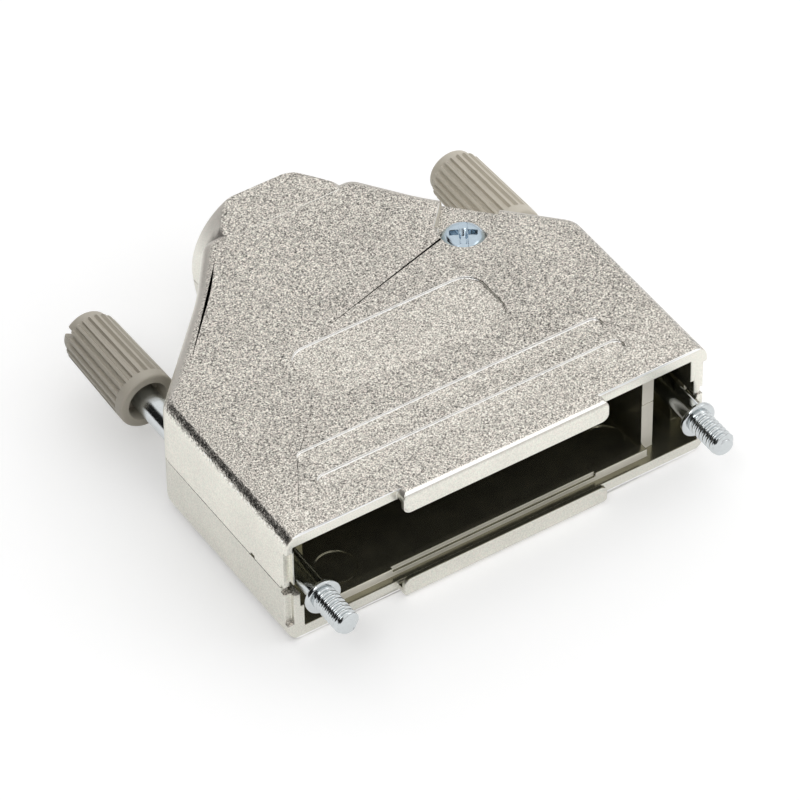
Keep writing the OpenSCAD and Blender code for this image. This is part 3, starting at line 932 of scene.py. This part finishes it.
@dataclass
class Thumbscrew:
    """One long screw with its fluted knob."""

    body: Body
    side: str
    x: float
    turn_degrees: float
    tip_y: float = -7.5
    thread_length: float = 4.75
    thread_pitch: float = 0.635
    thread_radius: float = 1.42
    collar: tuple[float, float, float] = (-2.75, -2.15, 2.1)
    neck: tuple[float, float] = (1.25, 7.6)
    shaft_radius: float = 1.5
    shaft_end: float = 43.05
    knob: tuple[float, float] = (32.05, 45.25)
    knob_radius: tuple[float, float] = (3.4, 3.15)
    knob_end: tuple[float, float] = (1.1, 2.75)
    rim: float = 1.2
    flutes: int = 22
    flute_depth: float = 0.38
    recess: tuple[float, float] = (2.0, 2.3)
    slot: tuple[float, float] = (1.0, 1.6)

    def place(self) -> Matrix:
        """From the piece's own Z axis to the thumbscrew's place, in millimetres."""
        return (Matrix.Translation((self.x, 0.0, 0.0))
                @ Matrix.Rotation(math.radians(self.turn_degrees), 4, "Y")
                @ Matrix.Rotation(-math.pi / 2, 4, "X"))

    def shaft(self) -> bpy.types.Object:
        """The steel shaft with its thread, collar and neck."""
        front, rear, wide = self.collar
        thread, shaft = self.thread_radius, self.shaft_radius
        profile = [(0.0, self.tip_y), (thread - 0.42, self.tip_y), (thread - 0.38, self.tip_y + 0.02)]
        profile += [(min(thread, thread - 0.38 + (y - self.tip_y)), y)
                    for y in steps(self.tip_y + 0.06, front - 0.02, 0.055)]
        profile += [(thread, front), (wide - 0.2, front)]
        profile += [(wide - 0.2 + 0.2 * math.sin(a), front + 0.2 - 0.2 * math.cos(a))
                    for a in (math.radians(30 * k) for k in (1, 2, 3))]
        profile += [(wide - 0.2 + 0.2 * math.cos(a), rear - 0.2 + 0.2 * math.sin(a))
                    for a in (math.radians(30 * k) for k in range(4))]
        narrow, neck_end = self.neck
        profile += [(narrow, rear), (narrow, neck_end), (shaft, neck_end), (shaft, self.shaft_end),
                    (0.0, self.shaft_end)]
        piece = object_of(f"thumbscrew_shaft_{self.side}_steel", turn(profile, 56))
        Skin(Kind.THREAD).work(piece, STEEL.material(), start=self.tip_y - 0.3, end=front - 0.1,
                               pitch=self.thread_pitch, depth=0.3, run_out=0.3, least_radius=0.0)
        put(piece, self.place())
        shade(piece, 45.0)
        return deliver(piece, self.body, [f"thumbscrew_shaft_{self.side}"])

    def grip(self) -> bpy.types.Object:
        """The fluted knob."""
        front, rear = self.knob
        wide, narrow = self.knob_radius
        end_length, end_radius = self.knob_end
        grip_end = rear - end_length
        depth, inner = self.recess
        round_r = 0.45

        def radius(y: float) -> float:
            """Radius of the tapered grip at a height."""
            return wide + (narrow - wide) * (y - front - self.rim) / (grip_end - front - self.rim)

        start = front + self.rim
        profile = [(0.0, front + depth), (inner, front + depth), (inner, front + 0.15),
                   (inner + 0.12, front), (wide - 0.3, front)]
        profile += [(wide - 0.3 + 0.3 * math.sin(a), front + 0.3 - 0.3 * math.cos(a))
                    for a in (math.radians(22.5 * k) for k in (1, 2, 3, 4))]
        profile += [(wide, y) for y in steps(front + 0.45, start, 0.2)]
        profile += [(radius(y), y) for y in steps(start + 0.04, start + 0.5, 0.06)]
        profile += [(radius(y), y) for y in steps(start + 0.9, grip_end - 1.4, 0.9)]
        profile += [(radius(y), y) for y in steps(grip_end - 1.1, grip_end - round_r, 0.08)]
        profile += [(radius(grip_end) - round_r * (1 - math.cos(a)), grip_end - round_r * (1 - math.sin(a)))
                    for a in (math.radians(15 * k) for k in range(1, 6))]
        profile += [(end_radius, grip_end), (end_radius, rear - round_r)]
        profile += [(end_radius - round_r * (1 - math.cos(a)), rear - round_r * (1 - math.sin(a)))
                    for a in (math.radians(22.5 * k) for k in range(1, 5))]
        profile += [(end_radius * 0.5, rear), (0.0, rear)]
        piece = object_of(f"knob_{self.side}_plastic", turn(profile, self.flutes * 12))
        Skin(Kind.FLUTES).work(piece, PLASTIC.material(), start=start, end=rear + 1.0,
                               pitch=1 / self.flutes, depth=self.flute_depth, run_out=0.06,
                               least_radius=end_radius + 0.02)
        width, slot_depth = self.slot
        cut(piece, box_mesh((12.0, width, slot_depth * 2), (0.0, 0.0, rear)))
        put(piece, self.place())
        shade(piece, 42.0)
        return deliver(piece, self.body, [f"knob_{self.side}"])

    def build(self) -> None:
        """Makes the shaft and the knob."""
        self.shaft()
        self.grip()


@dataclass
class CableClamp:
    """The two saddles that grip the cable, and their screws."""

    saddles: tuple[str, str] = ("clamp_upper", "clamp_lower")
    screws: str = "clamp_screws"
    y: float = 38.2
    spacing: float = 11.6
    head_z: float = 3.4
    screw: Screw = field(default_factory=lambda: Screw(2.0, 8.4, 3.5, 1.4, pitch=0.4))

    def build(self) -> None:
        """Makes the saddles and both screws."""
        for node in self.saddles:
            piece = object_of(f"{node}_bar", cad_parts[node].data.copy())
            edit(piece, Casting().clean)
            soften(piece, 0.12)
            shade(piece)
            piece.data.materials.clear()
            piece.data.materials.append(CLAMP.material())
            deliver(piece, Body.HOOD, [node])
        parts = []
        for side in (-0.5, 0.5):
            part = self.screw.make("clamp_screw", STEEL)
            put(part, Matrix.Translation((side * self.spacing, self.y, self.head_z)))
            parts.append(part)
        first, second = parts
        joined = bmesh.new()
        for part in parts:
            joined.from_mesh(part.data)
        joined.to_mesh(first.data)
        joined.free()
        bpy.data.objects.remove(second)
        first.name = "clamp_screws_steel"
        shade(first, 40.0)
        deliver(first, Body.HOOD, [self.screws])


# ---------------------------------------------------------------- the studio


@dataclass
class Studio:
    """Floor, soft light and camera."""

    azimuth: float = -32.595
    elevation: float = 44.014
    roll: float = -0.690
    distance: float = 0.59092
    target: tuple[float, float, float] = (-0.005039, 0.011289, 0.007029)
    lens: float = 254.565
    floor_size: float = 3.0
    floor_colour: tuple[float, float, float] = (0.80, 0.80, 0.80)

    def camera(self) -> None:
        """The camera, turned so that the object stands as in the view that is wanted."""
        data = bpy.data.cameras.new("camera")
        data.lens = self.lens
        data.sensor_width = 36.0
        data.clip_start, data.clip_end = 0.01, 20.0
        aim = Euler((math.radians(90 - self.elevation), 0.0, math.radians(self.azimuth)), "XYZ")
        turned = aim.to_matrix()
        turned = turned @ Matrix.Rotation(math.radians(self.roll), 3, "Z")
        made = bpy.data.objects.new("camera", data)
        bpy.context.scene.collection.objects.link(made)
        made.matrix_world = Matrix.Translation(
            Vector(self.target) + turned.col[2] * self.distance) @ turned.to_4x4()
        bpy.context.scene.camera = made

    def floor(self) -> None:
        """The pale floor under the hood, which shows white to the camera and keeps the shadow."""
        half, level = self.floor_size / 2, CAD_BOX[0].z - 0.0002
        mesh = bpy.data.meshes.new("floor")
        mesh.from_pydata([(-half, -half, level), (half, -half, level), (half, half, level),
                          (-half, half, level)], [], [(0, 1, 2, 3)])
        made = object_of("floor", mesh)
        material = bpy.data.materials.new("floor_paper")
        material.use_nodes = True
        graph = Graph(material.node_tree)
        paper = graph.node("ShaderNodeBsdfDiffuse", {}, {"Color": rgba(self.floor_colour)})
        seen = graph.node("ShaderNodeLightPath", output="Is Camera Ray")
        mirrored = Term(graph, seen.socket.node.outputs["Is Glossy Ray"])
        glow = graph.node("ShaderNodeEmission", {},
                          {"Color": rgba((1, 1, 1)), "Strength": (seen + mirrored) * 0.3})
        both = graph.node("ShaderNodeAddShader", {}, {0: paper, 1: glow})
        graph.node("ShaderNodeOutputMaterial", {}, {"Surface": both})
        mesh.materials.append(material)

    def world(self) -> None:
        """A white room with a dark wall on the left of the hood, which metal shows as dark streaks."""
        world = bpy.data.worlds.new("room")
        bpy.context.scene.world = world
        world.use_nodes = True
        graph = Graph(world.node_tree)
        way = graph.node("ShaderNodeTexCoord", output="Generated")
        x, y, z = graph.split(way)
        wall = (1.0 - x.ramp(-0.34, -0.12)) * z.ramp(-0.01, 0.03) * (1.0 - z.ramp(0.70, 0.84))
        room = z.ramp(0.1, 0.6, 0.8, 1.05) * (1.0 - 0.985 * wall)
        seen = graph.node("ShaderNodeLightPath", output="Is Camera Ray")
        through = Term(graph, seen.socket.node.outputs["Is Transmission Ray"])
        white = (seen + through).least(1.0)
        strength = room + white * (1.0 - room)
        back = graph.node("ShaderNodeBackground", {}, {"Color": rgba((1, 1, 1)), "Strength": strength})
        graph.node("ShaderNodeOutputWorld", {}, {"Surface": back})

    def lamp(self, name: str, place: Sequence[float], size: float, power: float) -> None:
        """One soft lamp that faces the hood.

        Args:
            name: The lamp's name.
            place: Its place in metres.
            size: Side of its square.
            power: Its power.
        """
        data = bpy.data.lights.new(name, "AREA")
        data.shape = "SQUARE"
        data.size = size
        data.energy = power
        made = bpy.data.objects.new(name, data)
        bpy.context.scene.collection.objects.link(made)
        spot = Vector(place)
        made.matrix_world = Matrix.Translation(spot) @ (-spot).to_track_quat("-Z", "Y").to_matrix().to_4x4()

    def build(self) -> None:
        """Makes the studio."""
        self.camera()
        self.floor()
        self.world()
        self.lamp("key", (-0.7, -0.5, 1.1), 0.5, 3.0)
        self.lamp("fill", (0.9, -0.6, 0.8), 0.6, 1.0)
        bpy.context.scene.view_settings.view_transform = "Standard"


def main() -> None:
    """Builds the studio and every piece of the hood."""
    logging.basicConfig(level=logging.INFO, format="%(message)s")
    Studio().build()
    Casting().build()
    CaseScrews().build()
    Thumbscrew(Body.LEFT, "left", -23.52, 30.0).build()
    Thumbscrew(Body.RIGHT, "right", 23.52, -30.0).build()
    CableClamp().build()


if __name__ == "__main__":
    main()
